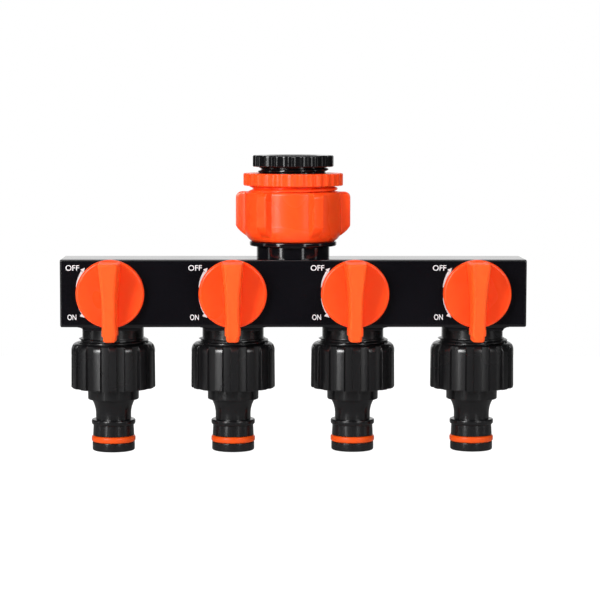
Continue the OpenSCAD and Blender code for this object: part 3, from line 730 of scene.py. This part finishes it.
# Valves.
# Inside each cup a white acetal ball turns between two acetal seats. A black stem, sealed by a rubber
# ring in the bonnet that is set in the bar's front, drives it from the knob.
white_acetal = make_finish(
    "white_acetal", (0.7, 0.69, 0.65), (0.8, 0.79, 0.75), (0.6, 0.58, 0.54),
    smooth=0.3, rough=0.42, grain_size=1500, relief=0.00002,
)
for outlet in OUTLET_X:
    for node, material in (
        ("lower_seat", white_acetal), ("upper_seat", white_acetal), ("valve_ball", white_acetal),
        ("valve_stem", black_satin), ("stem_seal", black_rubber), ("valve_bonnet", black_satin),
    ):
        dress(f"{node}_{outlet}", material)

# Knobs.
# Orange plastic levers: a thin disc with an eased rim, and across it a ridge for finger and thumb that
# falls to a tail past the disc and has a duller skin. The ridge is coloured paler as painted light, so
# that it looks more brightly lit than the disc. A square socket is pressed on the stem.
KNOB_BACK = -15.95
DISC_RADIUS = 12.55
DISC_THICKNESS = 3
DISC_EASE = 1
DISC_BACK_EASE = 0.3
RIDGE_ROOT = 1.5
RIDGE_TOP = 11.8
RIDGE_HEIGHT = 12.2
TAIL_TIP = -17.4
TAIL_HEIGHT = 4.9
RIDGE_HALF_WIDTHS = [
    (TAIL_TIP, 2.45), (-15.25, 2.53), (-14.95, 2.98), (-12.7, 2.98), (-12.4, 2.8), (-9.4, 2.78),
    (-6.5, 2.8), (-3.6, 2.87), (-0.7, 2.99), (2.3, 3.2), (5.2, 3.52), (8.2, 3.87), (RIDGE_TOP, 4.25),
]
RIDGE_STEPS = 44
RIDGE_DRAFT = 0.045
CREST_ROUND = 1.2
END_ROUND = 0.9
SOCKET_HALF = 2.45
SOCKET_DEPTH = 5.05
# Depths off the knob's back, in its own frame, over which the ridge takes its duller skin and its painted
# light colour.
RIDGE_PAINTED_LIGHT_AND_SKIN = (-19.1, -20.6)
# The ridge's paler orange is painted light: it makes the ridge and its flanks look more brightly lit than
# the disc.
RIDGE_PAINTED_LIGHT_ORANGE = (1.0, 0.092, 0.0095, 1)
RIDGE_ROUGHNESS = 0.5

disc = make_rod(DISC_RADIUS, (0, 0, 0), (0, 0, DISC_THICKNESS))
for height, rounding in ((DISC_THICKNESS, DISC_EASE), (0, DISC_BACK_EASE)):
    rim = [
        edge for edge in disc.edges
        if all(abs(vert.co.z - height) < SAME_LINE for vert in edge.verts)
        and all(math.hypot(vert.co.x, vert.co.y) > DISC_RADIUS - NEAR for vert in edge.verts)
    ]
    round_edges(disc, rim, rounding, segments=4)

ridge = bmesh.new()


def ridge_section(up, inset):
    """Closed wire round the ridge at one height on the knob, drawn in evenly at its two ends."""
    for (low, low_width), (high, high_width) in zip(RIDGE_HALF_WIDTHS, RIDGE_HALF_WIDTHS[1:]):
        if low <= up <= high:
            half = low_width + (high_width - low_width) * (up - low) / (high - low) - inset
    share = (up - TAIL_TIP) / (RIDGE_TOP - TAIL_TIP)
    crest = DISC_THICKNESS + TAIL_HEIGHT + (RIDGE_HEIGHT - TAIL_HEIGHT) * share - inset
    crest_half = half - RIDGE_DRAFT * (crest - DISC_THICKNESS)
    right = [(half, RIDGE_ROOT), (half, DISC_THICKNESS)] + [
        (crest_half - CREST_ROUND * (1 - math.cos(turn)), crest - CREST_ROUND * (1 - math.sin(turn)))
        for turn in (math.radians(angle) for angle in range(0, 91, 15))
    ]
    line = right + [(-across, out) for across, out in reversed(right)]
    verts = [ridge.verts.new((across, up, out)) for across, out in line]
    return [ridge.edges.new(pair) for pair in zip(verts, verts[1:] + verts[:1])]


round_end = [
    (END_ROUND * (1 - math.cos(turn)), END_ROUND * (1 - math.sin(turn)))
    for turn in (math.radians(angle) for angle in range(0, 90, 15))
]
middle_ups = [up for up, _ in RIDGE_HALF_WIDTHS[1:-1]] + [
    TAIL_TIP + END_ROUND + (RIDGE_TOP - TAIL_TIP - 2 * END_ROUND) * step / RIDGE_STEPS
    for step in range(RIDGE_STEPS + 1)
]
sections = (
    [ridge_section(TAIL_TIP + back, inset) for back, inset in round_end]
    + [ridge_section(up, 0) for up in sorted(middle_ups)]
    + [ridge_section(RIDGE_TOP - back, inset) for back, inset in reversed(round_end)]
)
for section, following in zip(sections, sections[1:]):
    bmesh.ops.bridge_loops(ridge, edges=section + following)
for section in (sections[0], sections[-1]):
    bmesh.ops.contextual_create(ridge, geom=section)
bmesh.ops.recalc_face_normals(ridge, faces=ridge.faces)

knob = combine(disc, ridge, "UNION")
socket = make_block((-SOCKET_HALF, -SOCKET_HALF, -PAST), (SOCKET_HALF, SOCKET_HALF, SOCKET_DEPTH))
knob = combine(knob, socket, "DIFFERENCE")
bmesh.ops.rotate(knob, cent=(0, 0, 0), matrix=Matrix.Rotation(math.pi / 2, 3, "X"), verts=knob.verts)
bmesh.ops.translate(knob, vec=(0, KNOB_BACK, VALVE_HEIGHT), verts=knob.verts)

orange_knob = make_finish(
    "orange_knob", (0.98, 0.067, 0.0085), (1.0, 0.075, 0.011), (1.0, 0.105, 0.02),
    smooth=0.24, rough=0.34, grain_size=1600, relief=0.00002, shine=0.22, glow=0.35,
)
nodes, join = orange_knob.node_tree.nodes, orange_knob.node_tree.links.new
place = nodes.new("ShaderNodeTexCoord")
split = nodes.new("ShaderNodeSeparateXYZ")
on_ridge = nodes.new("ShaderNodeMapRange")
on_ridge.inputs["From Min"].default_value = RIDGE_PAINTED_LIGHT_AND_SKIN[0] * MM
on_ridge.inputs["From Max"].default_value = RIDGE_PAINTED_LIGHT_AND_SKIN[1] * MM
# Painted light: the ridge is coloured a paler orange so that it looks more brightly lit than the disc, and
# it is also made rougher.
ridge_painted_light = nodes.new("ShaderNodeMix")
ridge_painted_light.data_type = "RGBA"
ridge_painted_light.inputs[COLOUR_B].default_value = RIDGE_PAINTED_LIGHT_ORANGE
duller = nodes.new("ShaderNodeMix")
duller.inputs["B"].default_value = RIDGE_ROUGHNESS
colour = nodes["Principled BSDF"].inputs["Base Color"]
gloss = nodes["Principled BSDF"].inputs["Roughness"]
join(place.outputs["Object"], split.inputs["Vector"])
join(split.outputs["Y"], on_ridge.inputs["Value"])
join(on_ridge.outputs["Result"], ridge_painted_light.inputs["Factor"])
join(colour.links[0].from_socket, ridge_painted_light.inputs[COLOUR_A])
join(ridge_painted_light.outputs[COLOUR_MIXED], colour)
join(on_ridge.outputs["Result"], duller.inputs["Factor"])
join(gloss.links[0].from_socket, duller.inputs["A"])
join(duller.outputs["Result"], gloss)
set_at_outlets(knob, "lever_knob", orange_knob, "orange_plastic", "valve", "knob")

# Outlet connectors.
# Black plastic, a little duller than the bar. A nut with sixteen straight grip ribs and a rounded
# shoulder screws on the spigot, and under it a collar, a hollow flare and the quick-connect nipple.
NUT_RIBS = 16
RIB_RADIUS = 15.75
RIB_DRAFT = 0.12
RIB_HEIGHT = 1
RIB_EDGES = (0.226, 0.274)
HALF_RIB_STOPS = (0.11, 0.2, RIB_EDGES[0], 0.236, 0.25, 0.264, RIB_EDGES[1], 0.3, 0.4)
RIB_STOPS = (0, *HALF_RIB_STOPS, 0.5, *(1 - stop for stop in reversed(HALF_RIB_STOPS)))
RIB_TURN = 2.7
CONNECTOR_TOP = -70.1
CONNECTOR_BOTTOM = -87.1
SHOULDER_WIDTH = 2.1
SHOULDER_FALL = 2.9
COLLAR_RADIUS = 9.58
COLLAR_DRAFT = 0.05
COLLAR_BOTTOM = -91.5
FLARE_RADIUS = 8.2
NARROW_RADIUS = 6.6
NARROW_TOP = -97
FLARE_STEPS = 8
NIPPLE_RING = (8.2, -99.1, -101.1)
LAND_TOP_RADIUS = 7.54
LAND_RADIUS = 7.74
SEAL_GROOVE = (6.15, -105.2, -107.6)
TIP_RADIUS = 7.94
TIP_BOTTOM = -110.85
NIPPLE_BORE = 4.7
WASHER_FLOOR = -84.1

flare_step = FLARE_RADIUS - NARROW_RADIUS
flare_height = COLLAR_BOTTOM - NARROW_TOP
flare_curve = (flare_height**2 / flare_step + flare_step) / 2
flare = [
    (NARROW_RADIUS + flare_curve - math.sqrt(flare_curve**2 - rise**2), NARROW_TOP + rise, 0)
    for rise in (flare_height * step / FLARE_STEPS for step in range(FLARE_STEPS, -1, -1))
]
rib_top = RIB_RADIUS - RIB_DRAFT
floor_radius = RIB_RADIUS - RIB_HEIGHT
ring_radius, ring_top, ring_bottom = NIPPLE_RING
groove_floor, groove_top, groove_bottom = SEAL_GROOVE
shoulder = [
    (
        rib_top - SHOULDER_WIDTH * (1 - math.sin(turn)),
        CONNECTOR_TOP - SHOULDER_FALL * (1 - math.cos(turn)), 0,
    )
    for turn in (math.radians(angle) for angle in range(0, 91, 9))
]
connector = draw_outline([(SOCKET_BORE, CONNECTOR_TOP, 0)] + shoulder + [
    (RIB_RADIUS, CONNECTOR_BOTTOM, 0.5), (COLLAR_RADIUS, CONNECTOR_BOTTOM, 0.3),
    (COLLAR_RADIUS - COLLAR_DRAFT, COLLAR_BOTTOM, 0.4),
] + flare + [
    (NARROW_RADIUS, ring_top, 0.1), (ring_radius, ring_top, 0.4), (ring_radius, ring_bottom, 0.8),
    (LAND_TOP_RADIUS, ring_bottom, 0.3), (LAND_RADIUS, groove_top, 0.25), (groove_floor, groove_top, 0),
    (groove_floor, groove_bottom, 0), (TIP_RADIUS, groove_bottom, 0.25), (TIP_RADIUS, TIP_BOTTOM, 0.6),
    (NIPPLE_BORE, TIP_BOTTOM, 0.5), (NIPPLE_BORE, WASHER_FLOOR, 0),
    (SOCKET_POCKET, WASHER_FLOOR, 0), (SOCKET_POCKET, SPIGOT_END, 0), (SOCKET_BORE, SPIGOT_END, 0),
])
rib_steps = NUT_RIBS * len(RIB_STOPS)
turn_outline(connector, rib_steps)
for vert in connector.verts:
    radius = math.hypot(vert.co.x, vert.co.y)
    step = round(math.atan2(vert.co.y, vert.co.x) % math.tau / math.tau * rib_steps)
    rib, stop = divmod(step, len(RIB_STOPS))
    turn = (rib + RIB_STOPS[stop]) / NUT_RIBS * math.tau + math.radians(RIB_TURN)
    gap = ease(*RIB_EDGES, min(RIB_STOPS[stop], 1 - RIB_STOPS[stop]))
    if radius > floor_radius:
        radius -= (radius - floor_radius) * gap
    vert.co.x, vert.co.y = radius * math.cos(turn), radius * math.sin(turn)
set_at_outlets(connector, "hose_connector", black_satin, "black_satin", "outlet_connector", "connector")

# Nipple seals.
# An orange rubber ring fills the groove near the tip of each nipple and stands a little proud of it,
# its round section pressed nearly square.
SEAL_RADIUS = 8.22
SEAL_ROUND = 0.72
SEAL_GAP = 0.02
orange_rubber = make_finish(
    "orange_rubber", (0.62, 0.061, 0.003), (0.7, 0.072, 0.004), (0.75, 0.11, 0.02),
    smooth=0.3, rough=0.42, grain_size=2200, relief=0.00002, shine=0.25,
)
seal_inside = groove_floor + SEAL_GAP
seal_top = groove_top - SEAL_GAP
seal_bottom = groove_bottom + SEAL_GAP
seal = draw_outline([
    (seal_inside, seal_top, 0.3), (SEAL_RADIUS, seal_top, SEAL_ROUND),
    (SEAL_RADIUS, seal_bottom, SEAL_ROUND), (seal_inside, seal_bottom, 0.3),
])
turn_outline(seal)
set_at_outlets(seal, "nipple_seal", orange_rubber, "orange_rubber", "outlet_connector", "connector_oring")

# Floor, backdrop and light.
# The splitter hangs just over a pale floor, with room to unscrew the connectors, before a white backdrop.
# A large soft box at the left gives the modelling, weaker ones at the right, above and behind open the
# shadows, and upright strips draw the bright lines on the round black pieces.
FLOOR_RADIUS = 0.45
FLOOR_ROOM = 0.0125
FLOOR_GLOW = 0.9
FLOOR_TONE = 0.25
FLOOR_BOUNCE = 0.85
ROOM_LIGHT = 0.03
ROOM_MIRRORED = 0.035
BACKDROP_EDGE = (0.8, 0.97)
AIM = (0, 0, -0.055)
floor_shape = bmesh.new()
bmesh.ops.create_circle(
    floor_shape, cap_ends=True, segments=96, radius=FLOOR_RADIUS,
    matrix=Matrix.Translation((0, 0, cad_low.z - FLOOR_ROOM)),
)
floor = bpy.data.objects.new("floor", bpy.data.meshes.new("floor"))
floor_shape.to_mesh(floor.data)
floor_shape.free()
scene.collection.objects.link(floor)
floor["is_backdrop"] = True

pale_floor = bpy.data.materials.new("pale_floor")
pale_floor.use_nodes = True
nodes, join = pale_floor.node_tree.nodes, pale_floor.node_tree.links.new
matt = nodes["Principled BSDF"]
matt.inputs["Roughness"].default_value = 0.9
matt.inputs["Specular IOR Level"].default_value = 0
matt.inputs["Emission Color"].default_value = (1, 1, 1, 1)
path = nodes.new("ShaderNodeLightPath")
lift = nodes.new("ShaderNodeMath")
lift.operation = "MULTIPLY"
lift.inputs[1].default_value = FLOOR_GLOW
bounce = nodes.new("ShaderNodeMapRange")
bounce.inputs["To Min"].default_value = FLOOR_TONE
bounce.inputs["To Max"].default_value = FLOOR_BOUNCE
join(path.outputs["Is Camera Ray"], lift.inputs[0])
join(lift.outputs[0], matt.inputs["Emission Strength"])
join(path.outputs["Is Diffuse Ray"], bounce.inputs["Value"])
join(bounce.outputs["Result"], matt.inputs["Base Color"])
side = nodes.new("ShaderNodeNewGeometry")
clear = nodes.new("ShaderNodeBsdfTransparent")
one_sided = nodes.new("ShaderNodeMixShader")
join(side.outputs["Backfacing"], one_sided.inputs["Fac"])
join(matt.outputs["BSDF"], one_sided.inputs[1])
join(clear.outputs["BSDF"], one_sided.inputs[2])
join(one_sided.outputs["Shader"], nodes["Material Output"].inputs["Surface"])
floor.data.materials.append(pale_floor)


def soft_box(name, place, width, height, watts):
    """Rectangular soft light turned to the object."""
    light = bpy.data.lights.new(name, "AREA")
    light.shape = "RECTANGLE"
    light.size = width
    light.size_y = height
    light.energy = watts
    box = bpy.data.objects.new(name, light)
    box.location = place
    box.rotation_euler = (Vector(AIM) - Vector(place)).to_track_quat("-Z", "Y").to_euler()
    scene.collection.objects.link(box)
    return box


soft_box("left_box", (-0.63, -0.81, 0.36), width=0.35, height=0.36, watts=11.5)
soft_box("right_box", (0.63, -0.81, 0.36), width=0.35, height=0.36, watts=4.6)
soft_box("top_box", (0.0, -0.2, 1.0), width=0.5, height=0.5, watts=3.0)
soft_box("left_strip", (-0.65, -0.775, 0.05), width=0.11, height=0.8, watts=3.0)
soft_box("right_strip", (0.5, -0.875, 0.05), width=0.08, height=0.8, watts=1.1)
soft_box("left_side_strip", (-1.0, -0.12, 0.05), width=0.08, height=0.8, watts=0.6)
soft_box("right_side_strip", (0.97, -0.26, 0.05), width=0.08, height=0.8, watts=0.45)
back_box = soft_box("back_box", (0.1, 0.95, 0.4), width=0.7, height=0.5, watts=7.0)
back_box.visible_glossy = False

world = bpy.data.worlds.new("studio")
scene.world = world
world.use_nodes = True
nodes, join = world.node_tree.nodes, world.node_tree.links.new
room = nodes["Background"]
room.inputs["Color"].default_value = (1, 1, 1, 1)
backdrop = nodes.new("ShaderNodeBackground")
backdrop.inputs["Color"].default_value = (1, 1, 1, 1)
backdrop.inputs["Strength"].default_value = 1
path = nodes.new("ShaderNodeLightPath")
view = nodes.new("ShaderNodeTexCoord")
split = nodes.new("ShaderNodeSeparateXYZ")
behind = nodes.new("ShaderNodeMapRange")
behind.interpolation_type = "SMOOTHSTEP"
behind.inputs["From Min"].default_value = BACKDROP_EDGE[0]
behind.inputs["From Max"].default_value = BACKDROP_EDGE[1]
dim = nodes.new("ShaderNodeMapRange")
dim.inputs["To Min"].default_value = ROOM_LIGHT
dim.inputs["To Max"].default_value = ROOM_MIRRORED
mirrored = nodes.new("ShaderNodeMath")
mirrored.operation = "MULTIPLY"
straight = nodes.new("ShaderNodeMath")
straight.operation = "MAXIMUM"
either = nodes.new("ShaderNodeMath")
either.operation = "MAXIMUM"
seen = nodes.new("ShaderNodeMixShader")
join(view.outputs["Generated"], split.inputs["Vector"])
join(split.outputs["Y"], behind.inputs["Value"])
join(path.outputs["Is Glossy Ray"], dim.inputs["Value"])
join(dim.outputs["Result"], room.inputs["Strength"])
join(path.outputs["Is Glossy Ray"], mirrored.inputs[0])
join(behind.outputs["Result"], mirrored.inputs[1])
join(path.outputs["Is Camera Ray"], straight.inputs[0])
join(path.outputs["Is Transmission Ray"], straight.inputs[1])
join(straight.outputs[0], either.inputs[0])
join(mirrored.outputs[0], either.inputs[1])
join(either.outputs[0], seen.inputs["Fac"])
join(room.outputs["Background"], seen.inputs[1])
join(backdrop.outputs["Background"], seen.inputs[2])
join(seen.outputs["Shader"], nodes["World Output"].inputs["Surface"])

scene.view_settings.view_transform = "Standard"

low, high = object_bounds()
